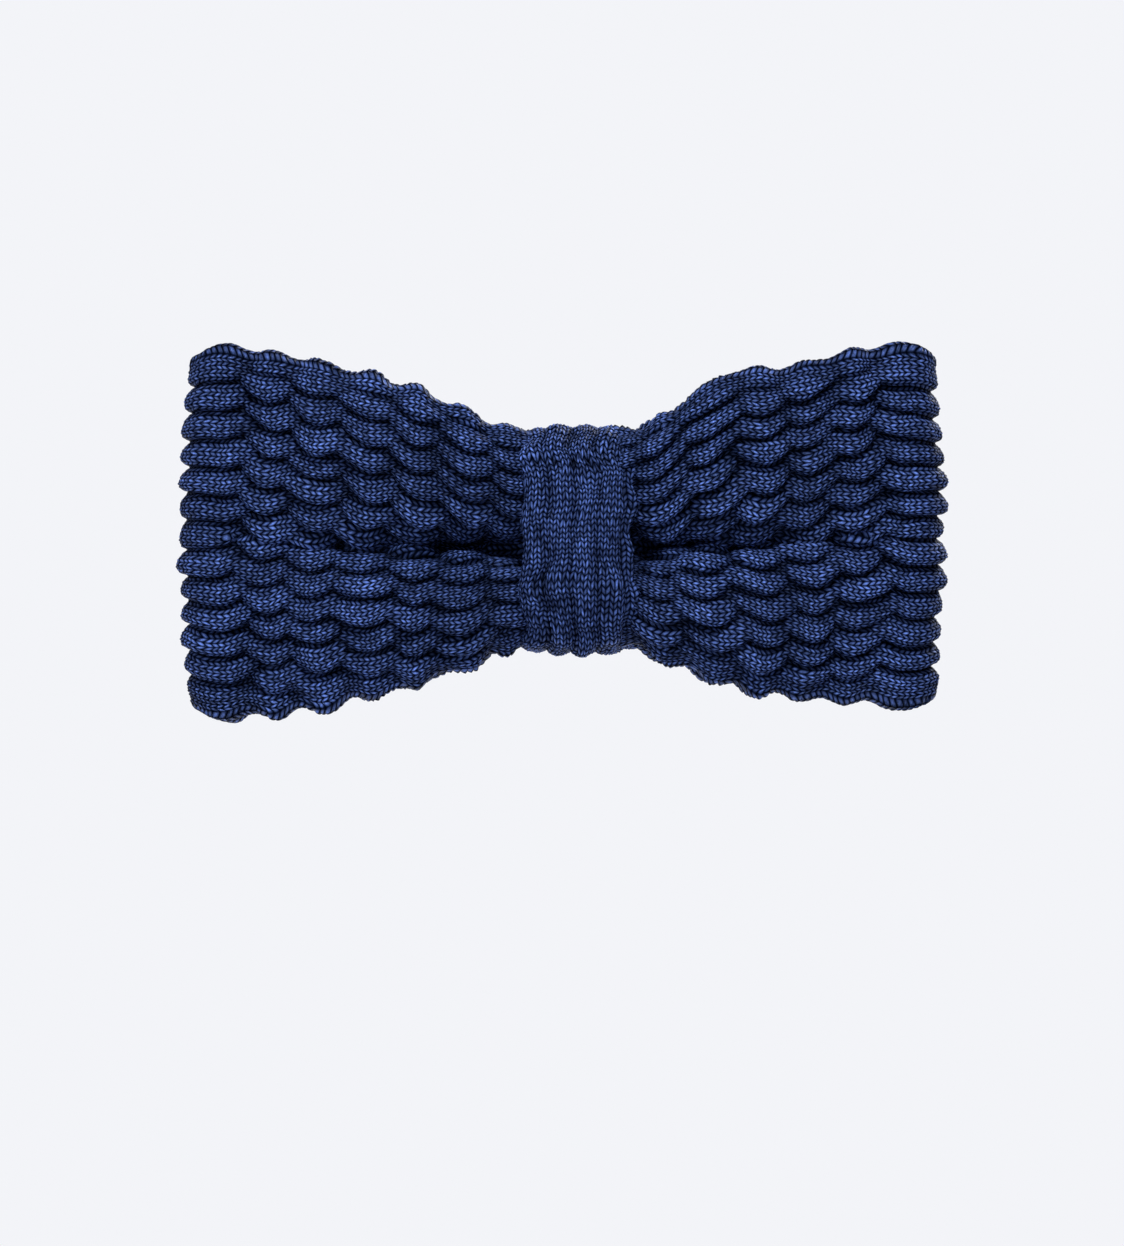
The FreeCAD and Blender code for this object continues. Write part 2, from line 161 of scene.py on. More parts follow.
def unit(vectors):
    """Vectors scaled to a length of one."""
    return vectors / np.maximum(np.linalg.norm(vectors, axis=-1, keepdims=True), 1e-9)


def slopes_of(grid, wrapped):
    """Unit directions along both sides of a grid of points."""
    along = np.gradient(grid, axis=0)
    if wrapped:
        along[0] = grid[1] - grid[-1]
        along[-1] = grid[0] - grid[-2]
    return unit(along), unit(np.gradient(grid, axis=1))


# ---- meshes

def mesh_piece(name, points, faces, uv=None, values=None):
    """A mesh from points in millimetres, with optional UVs per point and named values. Its quads
    are shaded smooth and its end caps flat."""
    mesh = bpy.data.meshes.new(name)
    mesh.vertices.add(len(points))
    mesh.vertices.foreach_set("co", (points * MM).astype(np.float32).ravel())
    sizes = np.array([len(face) for face in faces])
    flat = np.concatenate(faces)
    mesh.loops.add(len(flat))
    mesh.loops.foreach_set("vertex_index", flat.astype(np.int32))
    mesh.polygons.add(len(sizes))
    starts = np.concatenate([[0], np.cumsum(sizes)[:-1]])
    mesh.polygons.foreach_set("loop_start", starts.astype(np.int32))
    mesh.update(calc_edges=True)
    mesh.polygons.foreach_set("use_smooth", sizes == 4)
    if uv is not None:
        layer = mesh.uv_layers.new(name="stitches")
        layer.data.foreach_set("uv", uv[flat].astype(np.float32).ravel())
    for key, value in (values or {}).items():
        attribute = mesh.attributes.new(key, "FLOAT", "POINT")
        attribute.data.foreach_set("value", value.astype(np.float32))
    piece = bpy.data.objects.new(name, mesh)
    bpy.context.scene.collection.objects.link(piece)
    return piece


def ring_faces(count, size, flipped=False):
    """Quads that join count rings of size points, and a cap at each end."""
    rows = np.arange(count - 1)[:, None]
    columns = np.arange(size)[None, :]
    after, beside = rows + 1, (columns + 1) % size
    quads = np.stack([rows * size + columns, rows * size + beside,
                      after * size + beside, after * size + columns], -1).reshape(-1, 4)
    first, last = np.arange(size), np.arange(size) + (count - 1) * size
    if flipped:
        return list(quads[:, ::-1]) + [first, last[::-1]]
    return list(quads) + [first[::-1], last]


def tube_mesh(name, rings, flipped=False, uv=None, values=None):
    """A closed piece from an array of rings of points."""
    count, size = rings.shape[:2]
    if uv is not None:
        uv = uv.reshape(-1, 2)
    if values is not None:
        values = {key: value.ravel() for key, value in values.items()}
    faces = ring_faces(count, size, flipped)
    return mesh_piece(name, rings.reshape(-1, 3), faces, uv, values)


# The direction of a sheet's edge is taken over this many samples
EDGE_SPAN = 5


def rounded_sheet(outer, inner, steps):
    """Rings round a sheet: its outer face, a rounded edge, its inner face and the other edge."""
    edge_angles = np.linspace(0, math.pi, steps + 2)[1:-1]

    def edge(start, end, outwards):
        middle, half = (start + end) / 2, (start - end) / 2
        radius = np.linalg.norm(half, axis=-1, keepdims=True)
        return np.stack([middle + half * math.cos(a) + outwards * radius * math.sin(a)
                         for a in edge_angles], 1)

    top = edge(outer[:, -1], inner[:, -1], unit(outer[:, -1] - outer[:, -1 - EDGE_SPAN]))
    bottom = edge(inner[:, 0], outer[:, 0], unit(outer[:, 0] - outer[:, EDGE_SPAN]))
    return np.concatenate([outer, top, inner[:, ::-1], bottom], 1)


def ring_values(outer, rings, rest):
    """Values for all points of rings: those of the outer face, and one value for the rest."""
    beyond = rings.shape[1] - outer.shape[1]
    return np.pad(outer, ((0, 0), (0, beyond)), constant_values=rest)


def sheet_uv(stitches, wales, coarse, steps):
    """Stitch and wale numbers for the rings of rounded_sheet, from those of its outer face."""
    over = np.linspace(0, 2, steps + 2)[None, 1:-1]
    edge = np.zeros_like(over)
    inner = wales[:, coarse][:, ::-1]
    across = np.concatenate([wales, wales[:, -1:] + over, 2 * wales[:, -1:] + 2 - inner,
                             wales[:, :1] - over[:, ::-1]], 1)
    along = np.concatenate([stitches, stitches[:, -1:] + edge, stitches[:, coarse][:, ::-1],
                            stitches[:, :1] + edge], 1)
    return np.stack([along, across], -1)


# ---- the knit

def stitch_height(rng, stitches, wales):
    """Height, 0 to 1, of the V-shaped stitches at stitch and wale numbers. No two legs of
    yarn stand quite as high."""
    side = np.abs(wales - np.floor(wales) - 0.5)
    turn = stitches + LEG_SLANT * side
    along = 2 * (turn - np.floor(turn)) - 1
    across = (side - LEG_PLACE) / LEG_HALF_WIDTH
    legs = rng.uniform(*LEG_HEIGHTS, (CELLS, CELLS))
    leg = legs[np.floor(turn).astype(int) % CELLS, np.floor(2 * wales).astype(int) % CELLS]
    return leg * np.sqrt(np.clip(1 - along ** 2, 0, 1) * np.clip(1 - across ** 2, 0, 1))


# Lowest and highest scale, how far a scale strays along its cord and half its length there
SCALE_SIZES = (0.62, 1.1)
SCALE_DRIFT = 0.13
SCALE_REACH = 0.63
# A scale's lip is an arc, a little tilted, and its dome leans towards the lip
LIP_CURVE = 0.55
LIP_TILT = 0.16
LIP_SKEW = 0.7
DOME_POWER = 0.8
# The power that merges scales which overlap: the taller one shows
MERGE_POWER = 3


def scale_height(rng, columns, cords):
    """Height, 0 to 1, of overlapping scales: columns count along the cords, cords across them.
    Neighbouring columns sit half a cord apart, and each scale's lip faces the lower cord."""
    size = rng.uniform(*SCALE_SIZES, (CELLS, CELLS))
    drift = rng.uniform(-SCALE_DRIFT, SCALE_DRIFT, (CELLS, CELLS))
    total = np.zeros_like(columns)
    first = np.maximum(np.floor(columns), 0)
    for column, present in ((first, columns >= -1), (first + 1, columns >= 0)):
        number = column.astype(int) % CELLS
        off = columns - column
        place = cords + 0.5 * (number % 2) - LIP_CURVE * off ** 2 + LIP_TILT * off
        row = np.floor(place).astype(int)
        rise = 2 * (place - row) ** LIP_SKEW - 1
        spread = (off + drift[number, row % CELLS]) / SCALE_REACH
        dome = np.clip(1 - rise ** 2 - spread ** 2, 0, 1) ** DOME_POWER
        total += present * (dome * size[number, row % CELLS]) ** MERGE_POWER
    return total ** (1 / MERGE_POWER)


# ---- the wings

# Share 0 of a wing is this far from the bow's middle
PINCH_X = 10.2
CORDS = 13
# The sheet's thickness under the relief, and the samples round its edges and across its inside
SHEET = 2.2
EDGE_STEPS = 7
INNER_SAMPLES = 40
# The first column of scales is this far from the wing's end, towards which it is drawn out
FIRST_COLUMN = 7.0
FIRST_STRETCH = 4.5
COLUMN = 7.8
# Heights of the scales and the lumps, and the share of the stitches' height between scales
SCALE_RELIEF = 2.2
LUMP_RELIEF = 0.3
VALLEY_STITCHES = 0.75
# The strip along the cut edges: its width in cords, and its heights as shares of the relief
RIM_WIDTH = 0.9
RIM_HEIGHT = 0.3
RIM_BUMP = 0.45
RIM_VARIETY = 0.3
# Shifts along the sheet: of the cut edges, of the scales' own weight and of whole columns
EDGE_SCALLOP = 0.25
SCALE_SAG = 0.35
COLUMN_BOW = 0.28
# How far the columns and cords wander, as a share of their pitch
MEANDER = 0.16
# How much of the relief is pressed flat in the pleat, on the back layer and at the tip, and how
# much of the sag is held back at the tip
PLEAT_FLATTENING = 0.45
BACK_FLATTENING = 0.3
BACK_FROM, BACK_FADE = 42, 12
TIP_FLATTENING = 0.25
TIP_STIFFNESS = 0.8
TIP_FADE = 5
# Along the cut edges, the share of the wander that is left and the cords it takes to grow
EDGE_WANDER = 0.3
EDGE_REACH = 1.5
# How far stitches and wales stray from even rows, in stitches and in wales
STITCH_PULL = 0.5
STITCH_WOBBLE = 0.2
WALE_PULL = 0.24
# The share of the columns' bow that reaches the sheet's inner face
INNER_BOW = 0.7

# Plan of the loop: (share of the way from the pinch to the wing's end, y from the pinch)
FRONT_PLAN = [(-0.14, -7.2), (0.0, -8.8), (0.16, -10.0), (0.48, -8.4), (0.8, -5.0), (0.945, -2.6)]
TIP_PLAN = [(0.982, 0.4)]
BACK_PLAN = [(0.945, 3.2), (0.74, 4.6), (0.42, 5.6), (0.16, 5.7), (0.0, 5.2), (-0.14, 4.0)]
# How far each lobe stands out of the pleat, along the wing
FRONT_LOBE = [(-0.14, 6.5), (0.0, 7.2), (0.2, 5.8), (0.45, 3.6), (0.7, 1.7), (0.93, 0.0), (1.0, 0.0)]
BACK_LOBE = [(-0.14, 3.5), (0.0, 4.0), (0.2, 3.2), (0.45, 2.0), (0.7, 0.9), (0.93, 0.0), (1.0, 0.0)]
# A lobe's section is this share of half a turn
LOBE_TURN = 0.8
LOBE_SAMPLES = 60
BEND_SAMPLES = 15
# The tip's edge curves back by this much at the top and bottom
TIP_BOW = 1.7
# The share of the loop's length over which its front layer turns into its back layer
TURNOVER = 0.12

# Outlines from the front: (share along the wing, share of the strip's height above the origin).
# Each wing ends a little inside the CAD strip, because its relief stands out of the surface.
LEFT = {"side": -1, "seed": 3, "gap": 2.0, "end": -STRIP_LOW[0] - 0.9,
        "top": [(-0.14, 0.52), (0.0, 0.54), (0.1, 0.59), (0.22, 0.68), (0.48, 0.815),
                (0.78, 0.91), (0.93, 0.935), (1.0, 0.89)],
        "bottom": [(-0.14, -0.49), (0.0, -0.52), (0.1, -0.59), (0.21, -0.665), (0.48, -0.77),
                   (0.8, -0.855), (0.93, -0.86), (1.0, -0.82)],
        "pleat": [(-0.14, -0.05), (0.0, -0.04), (0.5, -0.03), (1.0, 0.04)]}
RIGHT = {"side": 1, "seed": 12, "gap": 1.5, "end": STRIP_HIGH[0] - 0.5,
         "top": [(-0.14, 0.52), (0.0, 0.55), (0.12, 0.65), (0.25, 0.78), (0.5, 0.84),
                 (0.8, 0.93), (0.93, 0.935), (1.0, 0.89)],
         "bottom": [(-0.14, -0.49), (0.0, -0.52), (0.1, -0.59), (0.25, -0.675), (0.5, -0.755),
                    (0.8, -0.785), (0.93, -0.8), (1.0, -0.77)],
         "pleat": [(-0.14, -0.04), (0.0, -0.03), (0.5, -0.02), (1.0, 0.05)]}


def wing_sections(wing, share, back, across):
    """Height, depth behind the crest and nearness to the pleat, at even places across each
    station of a wing."""
    top, bottom, pleat = (table(wing[key], share)[:, None] * STRIP_HIGH[2]
                          for key in ("top", "bottom", "pleat"))
    depth = (table(FRONT_LOBE, share) * (1 - back) + table(BACK_LOBE, share) * back)[:, None]
    # The pleat is open at the pinch and closes where the lobes flatten out
    open_share = np.clip(depth / table(FRONT_LOBE, 0.0), 0, 1)
    gap = wing["gap"] * open_share
    turn = np.linspace(0, LOBE_TURN, LOBE_SAMPLES)[1:]
    rise = (1 - np.cos(math.pi * turn)) / (1 - math.cos(math.pi * LOBE_TURN))
    sink = 1 - np.sin(math.pi * turn)
    hidden = np.where(turn < 0.5, sink ** 2, 0)
    bend = np.linspace(-math.pi / 2, math.pi / 2, BEND_SAMPLES)
    upper = pleat + gap + (top - pleat - gap) * rise
    lower = pleat - gap - (pleat - gap - bottom) * rise
    z = np.concatenate([lower[:, ::-1], pleat + gap * np.sin(bend), upper], 1)
    behind = np.concatenate([depth * sink[::-1], depth + gap * np.cos(bend), depth * sink], 1)
    near = np.concatenate([hidden[::-1], np.ones(len(bend)), hidden]) * open_share
    rows = []
    for line, back_line, near_line in zip(z, behind, near):
        length = run_lengths(np.stack([line, back_line], 1))
        even = across * length[-1]
        rows.append([np.interp(even, length, values) for values in (line, back_line, near_line)])
    return [np.array(part) for part in zip(*rows)]


def wing_surface(wing, plan, across):
    """The smooth outer face of a wing's loop as a grid of points, and how deep in the pleat."""
    side = wing["side"]
    reach = wing["end"] - PINCH_X
    tip = np.argmax(plan[:, 0])
    back = ease((np.arange(len(plan)) - tip) / (TURNOVER * len(plan)) + 0.5)
    share = (plan[:, 0] - PINCH_X) / reach
    z, behind, pleated = wing_sections(wing, share, back, across)
    tangent = unit(np.gradient(plan, axis=0))
    outward = np.stack([tangent[:, 1], -tangent[:, 0]], 1)
    middle = (table(wing["top"], 1.0) + table(wing["bottom"], 1.0)) / 2 * STRIP_HIGH[2]
    bow = TIP_BOW * ((z - middle) / STRIP_HIGH[2]) ** 2 * ease(share / 0.9)[:, None] ** 2
    x = plan[:, :1] - outward[:, :1] * behind - bow
    y = plan[:, 1:] - outward[:, 1:] * behind + BOW_Y
    return np.stack([side * x, y, z], -1), pleated


def wing_plan(wing):
    """The loop in plan, as distance from the bow's middle and y, from front pinch to back, with
    its length and its number of stitches."""
    points = [(PINCH_X + (wing["end"] - PINCH_X) * share, y)
              for share, y in FRONT_PLAN + TIP_PLAN + BACK_PLAN]
    curve, run = smooth_curve(points)
    stitches = round(run[-1] / STITCH)
    even = np.linspace(0, run[-1], stitches * SAMPLES_PER_STITCH + 1)
    return along_path(curve, run, even), run[-1], stitches


def relief_columns(distance):
    """The column number at a distance along the strip from the wing's end."""
    beyond = (distance - FIRST_COLUMN) / COLUMN
    return np.where(beyond < 0, (distance - FIRST_COLUMN) / (FIRST_STRETCH * FIRST_COLUMN), beyond)


def knit_wing(name, wing):
    """One wing of the bow: a looped sheet of relief knit."""
    rng = np.random.default_rng(wing["seed"])
    plan, length, stitches = wing_plan(wing)
    wales = CORDS * WALES_PER_CORD
    across = np.linspace(0, 1, wales * SAMPLES_PER_WALE + 1)
    base, pleated = wing_surface(wing, plan, across)
    along, up = slopes_of(base, False)
    outward = unit(np.cross(along, up)) * wing["side"]
    tip = length * np.argmax(plan[:, 0]) / len(plan)
    distance = np.abs(np.linspace(0, length, len(plan)) - tip)
    at_tip = bell(distance, 0, TIP_FADE)[:, None]
    stitch_number, wale_number = np.meshgrid(np.linspace(0, stitches, len(plan)), across * wales,
                                             indexing="ij")
    # The column and cord of every point, which wander less near the cut edges
    columns = relief_columns(distance)[:, None] * np.ones_like(wale_number)
    columns += MEANDER * ease(columns + 0.5) * patchy(rng, stitch_number, wale_number, 7)
    cords = wale_number / WALES_PER_CORD
    inside = EDGE_WANDER + (1 - EDGE_WANDER) * ease(np.minimum(cords, CORDS - cords) / EDGE_REACH)
    cords = cords + MEANDER * inside * patchy(rng, stitch_number, wale_number, 8)
    # The scales, which turn into one even bump a column along the cut edges
    flattened = ((1 - PLEAT_FLATTENING * pleated ** 2)
                 * (1 - BACK_FLATTENING * ease((distance - BACK_FROM) / BACK_FADE))[:, None])
    rim = ease(1 - cords / RIM_WIDTH) + ease(1 - (CORDS - cords) / RIM_WIDTH)
    scales = scale_height(rng, columns, cords)
    bump = RIM_BUMP + RIM_VARIETY * patchy(rng, stitch_number, wale_number, 9)
    scales += rim * (RIM_HEIGHT + bump * np.cos(math.pi * columns) ** 2 - scales)
    scales *= flattened * (1 - TIP_FLATTENING * at_tip)
    lumps = LUMP_RELIEF * patchy(rng, stitch_number, wale_number, 6)
    # The stitches, pulled a little out of line
    stitch_number = (stitch_number + STITCH_PULL * patchy(rng, stitch_number, wale_number, 3.6)
                     + STITCH_WOBBLE * patchy(rng, stitch_number, wale_number, 1.4))
    wale_number = wale_number + WALE_PULL * patchy(rng, stitch_number, wale_number, 4.5)
    knit = stitch_height(rng, stitch_number, wale_number)
    full = VALLEY_STITCHES + (1 - VALLEY_STITCHES) * scales
    height = SCALE_RELIEF * scales + STITCH_RELIEF * knit * full + lumps
    bow = -COLUMN_BOW * np.cos(TAU * columns) * flattened * inside
    scallop = (EDGE_SCALLOP * rim * np.sign(cords - CORDS / 2) * np.cos(TAU * columns)
               * (1 - at_tip))
    sag = SCALE_SAG * SCALE_RELIEF * scales * inside * (1 - TIP_STIFFNESS * at_tip)
    outer = base + outward * height[..., None] + up * (bow + scallop - sag)[..., None]
    coarse = np.linspace(0, len(across) - 1, INNER_SAMPLES).astype(int)
    inner = (base - outward * SHEET + up * bow[..., None] * INNER_BOW)[:, coarse]
    rings = rounded_sheet(outer, inner, EDGE_STEPS)
    # The scales' height goes to the material as its relief value, which paints light on their tops
    # and shade in the valleys between them
    return tube_mesh(name, rings, flipped=wing["side"] < 0,
                     uv=sheet_uv(stitch_number, wale_number, coarse, EDGE_STEPS),
                     values={"relief": ring_values(scales, rings, 0.4)})


# ---- the knot

KNOT_SEED = 21
KNOT_CORDS = 4.25
KNOT_SHEET = 1.4
KNOT_INNER_SAMPLES = 20
# The base surface stays this far inside the band's width, so that its relief has room
KNOT_INSET = 1.0
# How far each side rolls under, and how close to the side the roll starts
KNOT_ROLL = 2.3
KNOT_ROLL_POWER = 3.5
# Heights of the cords, of what they gain under the face, and of the lumps
CORD_RELIEF = 0.85
LOWER_RELIEF = 0.7
KNOT_LUMPS = 0.36
FINE_LUMPS = 0.6
# A row of dents across the face: its height as a share of the knot's, its width and its depth
DENT_PLACE = 0.66
DENT_WIDTH = 0.7
DENT_DEPTH = 0.5
DENTS_PER_CORD = 1.5
# How far stitches and wales are pulled out of line, and how far the sides sway up and down
KNOT_TANGLE = 0.5
FINE_TANGLE = 0.7
KNOT_WALE_PULL = 0.4
KNOT_SWAY = 0.45
# How much of the cords and of the stitches is pressed flat on the neckband
CORDS_PRESSED = 0.75
STITCHES_PRESSED = 0.55
# Side view of the knot band's outer face: (y from the pinch, z as a share of its half height)
KNOT_LOOP = [(10.65, 0.0), (10.65, -0.35), (10.3, -0.7), (8.4, -0.87),
             (4.0, -0.95), (-2.0, -0.965), (-7.4, -0.925), (-10.4, -0.74), (-11.6, -0.45),
             (-11.9, 0.0), (-11.6, 0.45), (-10.4, 0.74), (-7.4, 0.925), (-2.0, 0.965),
             (4.0, 0.95), (8.4, 0.87), (10.3, 0.7), (10.65, 0.35)]


def knot_band():
    """The band of the same knit, turned upright and wrapped round the pinch. Its ends meet at
    the back."""
    rng = np.random.default_rng(KNOT_SEED)
    curve, run = smooth_curve([(y, share * KNOT_HALF_HEIGHT) for y, share in KNOT_LOOP], True)
    stitches = round(run[-1] / STITCH)
    count = stitches * SAMPLES_PER_STITCH
    loop = along_path(curve, run, np.linspace(0, run[-1], count, endpoint=False))
    loop_y, loop_z = loop[:, 0], loop[:, 1]
    wales = round(KNOT_CORDS * WALES_PER_CORD)
    across = np.linspace(-1, 1, wales * SAMPLES_PER_WALE + 1)
    # The smooth band: its sides roll under, and its back lies flat on the neckband
    front = ease((2 - loop_y) / 8)[:, None]
    neck = ease((loop_y - 6) / 4)[:, None]
    x = across[None, :] * (KNOT_HALF_WIDTH - KNOT_INSET) * np.ones((count, 1))
    tuck = KNOT_ROLL * np.abs(across) ** KNOT_ROLL_POWER * (0.35 + 0.65 * front)
    facing = unit(np.roll(loop, -1, 0) - np.roll(loop, 1, 0))
    outward = np.stack([-facing[:, 1], facing[:, 0]], 1)
    y = loop[:, :1] - outward[:, :1] * tuck
    z = loop[:, 1:] - outward[:, 1:] * tuck
    y = y + neck * (x ** 2 / (2 * NECK_RADIUS) + tuck)
    base = np.stack([x, y + BOW_Y, z], -1)
    along, up = slopes_of(base, True)
    normal = unit(np.cross(up, along))
    stitch_number, wale_number = np.meshgrid(np.arange(count) / SAMPLES_PER_STITCH,
                                             (across + 1) / 2 * wales, indexing="ij")
    # Upright cords with a bump a column, stronger under the face, and a row of dents above
    cords = wale_number / WALES_PER_CORD
    column = stitch_number * STITCH / COLUMN
    lower = bell(loop_y, -8.0, 5) * ease(-loop_z / 9)
    strength = (CORD_RELIEF + LOWER_RELIEF * lower)[:, None] * (1 - CORDS_PRESSED * neck)
    dent_row = bell(loop_z, DENT_PLACE * KNOT_HALF_HEIGHT, DENT_WIDTH) * (loop_y < 0)
    dents = dent_row[:, None] * np.abs(np.cos(math.pi * cords * DENTS_PER_CORD)) ** 5
    rib = np.abs(np.sin(math.pi * cords)) ** 0.7
    bumps = np.abs(np.cos(math.pi * (column + np.floor(cords) % 2 * 0.5))) ** 0.8
    scales = rib * (0.55 + 0.45 * bumps)
    # The stitches, pulled well out of line except on the neckband
    loose = 1 - neck
    lumps = (patchy(rng, stitch_number, wale_number, 5)
             + FINE_LUMPS * patchy(rng, stitch_number, wale_number, 2.6))
    tangle = (patchy(rng, stitch_number, wale_number, 3.6)
              + FINE_TANGLE * patchy(rng, stitch_number, wale_number, 1.3)) * loose
    stitch_number = stitch_number + KNOT_TANGLE * tangle
    wale_number = wale_number + KNOT_WALE_PULL * patchy(rng, stitch_number, wale_number, 3) * loose
    knit = stitch_height(rng, stitch_number, wale_number)
    height = (strength * scales + KNOT_LUMPS * lumps * loose - DENT_DEPTH * dents
              + STITCH_RELIEF * knit * (1 - STITCHES_PRESSED * neck))
    sway = patchy(rng, stitch_number, wale_number * 0.25, 4.5) * loose
    sway += KNOT_SWAY * across ** 3 * np.cos(TAU * stitch_number * STITCH / COLUMN) * loose
    outer = base + normal * height[..., None] + up * sway[..., None]
    coarse = np.linspace(0, len(across) - 1, KNOT_INNER_SAMPLES).astype(int)
    inner = (base - normal * KNOT_SHEET + up * sway[..., None])[:, coarse]
    rings = rounded_sheet(outer, inner, EDGE_STEPS)
    # Painted shade for the material's relief value: darker in the grooves between cords and in the
    # dents, lighter on the cords' bumps and the lumps
    shade = np.clip(0.62 + 0.25 * lumps + 0.55 * (scales - 0.65) - dents, 0, 1)
    return tube_mesh("knot", rings, uv=sheet_uv(stitch_number, wale_number, coarse, EDGE_STEPS),
                     values={"relief": ring_values(shade, rings, 0.5)})


# ---- materials

class Nodes:
    """A short way to write a material's node tree."""

    def __init__(self, name):
        self.material = bpy.data.materials.new(name)
        self.material.use_nodes = True
        self.tree = self.material.node_tree
        self.shader = self.tree.nodes["Principled BSDF"]

    def add(self, kind, **settings):
        node = self.tree.nodes.new("ShaderNode" + kind)
        for key, value in settings.items():
            setattr(node, key, value)
        return node

    def link(self, source, target):
        if isinstance(source, bpy.types.NodeSocket):
            self.tree.links.new(source, target)
        else:
            target.default_value = source

    def math(self, operation, *inputs, clamp=False):
        node = self.add("Math", operation=operation, use_clamp=clamp)
        for source, target in zip(inputs, node.inputs):
            self.link(source, target)
        return node.outputs[0]

    def mix(self, factor, first, second):
        node = self.add("Mix", data_type="RGBA")
        for source, target in zip((factor, first, second),
                                  (node.inputs[0], node.inputs[6], node.inputs[7])):
            self.link(source, target)
        return node.outputs[2]

    def scaled(self, value, by, plus, clamp=False):
        return self.math("MULTIPLY_ADD", value, by, plus, clamp=clamp)

    def noise(self, coordinates, scale, detail):
        node = self.add("TexNoise")
        self.link(coordinates, node.inputs["Vector"])
        node.inputs["Scale"].default_value = scale
        node.inputs["Detail"].default_value = detail
        return node.outputs[0]

    def bump(self, height, distance, strength=1.0):
        node = self.add("Bump")
        node.inputs["Distance"].default_value = distance
        node.inputs["Strength"].default_value = strength
        self.link(height, node.inputs["Height"])
        return node.outputs[0]

    def stitch_numbers(self):
        """The two numbers that a knitted or woven mesh keeps in its UVs."""
        split = self.add("SeparateXYZ")
        self.link(self.add("UVMap", uv_map="stitches").outputs[0], split.inputs[0])
        return split.outputs[0], split.outputs[1]

    def place(self):
        return self.add("TexCoord").outputs["Object"]

    def set(self, **inputs):
        for key, value in inputs.items():
            self.link(value, self.shader.inputs[key.replace("_", " ")])
        return self.material


def knit_material(name, dark, light, glint):
    """Shiny two-ply yarn in V-shaped stitches, counted by the mesh's own stitch numbers."""
    n = Nodes(name)
    stitches, wales = n.stitch_numbers()
    # The same V as in stitch_height
    side = n.math("ABSOLUTE", n.math("SUBTRACT", n.math("FRACT", wales), 0.5))
    turn = n.scaled(side, by=LEG_SLANT, plus=stitches)
    along = n.scaled(n.math("FRACT", turn), by=2.0, plus=-1.0)
    across = n.math("DIVIDE", n.math("SUBTRACT", side, LEG_PLACE), LEG_HALF_WIDTH)
    round_along = n.math("SUBTRACT", 1.0, n.math("MULTIPLY", along, along), clamp=True)
    round_across = n.math("SUBTRACT", 1.0, n.math("MULTIPLY", across, across), clamp=True)
    yarn = n.math("SQRT", n.math("MULTIPLY", round_along, round_across))
    twist = n.math("SINE", n.scaled(across, by=2.2, plus=n.math("MULTIPLY", along, 7.0)))
    place = n.place()
    fibre = n.noise(place, scale=5200.0, detail=3.0)
    tone = n.noise(place, scale=55.0, detail=2.0)
    # The mesh's relief value paints light on the tops of its scales, cords and lumps, and shade in
    # the valleys, grooves and dents between them
    relief = n.add("Attribute", attribute_name="relief").outputs["Fac"]
    # Each leg of yarn has a brightness of its own
    leg = n.add("CombineXYZ")
    n.link(n.math("FLOOR", turn), leg.inputs[0])
    n.link(n.math("FLOOR", n.math("MULTIPLY", wales, 2.0)), leg.inputs[1])
    chance = n.add("TexWhiteNoise", noise_dimensions="2D")
    n.link(leg.outputs[0], chance.inputs["Vector"])
    # Specks that brighten the painted highlight at random
    glint_specks = n.scaled(n.noise(place, scale=2300.0, detail=1.0), by=3.0, plus=-0.6, clamp=True)
    # A painted highlight runs along the yarn's crest, over painted shade in the gaps between legs,
    # and is strongest on top of the relief
    crest = n.math("POWER", yarn, 4.4)
    lit = n.scaled(tone, by=0.7, plus=0.6)
    for value, by, plus in ((relief, 1.0, 0.13), (chance.outputs["Value"], 1.0, 0.4),
                            (fibre, 0.8, 0.3), (glint_specks, 1.1, 0.26)):
        lit = n.math("MULTIPLY", lit, n.scaled(value, by, plus))
    body = n.mix(n.math("MULTIPLY", crest, lit), dark, light)
    height = n.scaled(fibre, by=0.4, plus=n.scaled(twist, by=0.15, plus=yarn))
    return n.set(Base_Color=body, Normal=n.bump(height, distance=0.3 * MM),
                 Roughness=n.scaled(fibre, by=0.2, plus=0.28),
                 Specular_IOR_Level=n.math("MULTIPLY", crest, 0.4), Specular_Tint=glint)


# dark is the painted shade in the gaps between legs, light the colour of the painted highlight on
# their crests
KNIT = knit_material("navy_knit", dark=(0.0002, 0.0008, 0.004, 1), light=(0.148, 0.262, 0.8, 1),
                     glint=(0.4, 0.55, 1, 1))


# ---- the studio

def area_light(name, place, size, power, target):
    """A round soft light that points at a target."""
    light = bpy.data.lights.new(name, "AREA")
    light.shape = "DISK"
    light.size = size
    light.energy = power
    lamp = bpy.data.objects.new(name, light)
    bpy.context.scene.collection.objects.link(lamp)
    lamp.location = place
    direction = lamp.location - Vector(target)
    lamp.rotation_euler = direction.to_track_quat("Z", "Y").to_euler()


# The floor, in metres
FLOOR_DEPTH = 0.3
FLOOR_RADIUS = 1.3
FLOOR_THICKNESS = 0.01
FLOOR_CENTRE = 0.002
# The floor fades into the backdrop between these shares of its radius
FLOOR_FADE = (0.35, 0.98)
PALE = (0.896, 0.905, 0.939, 1)


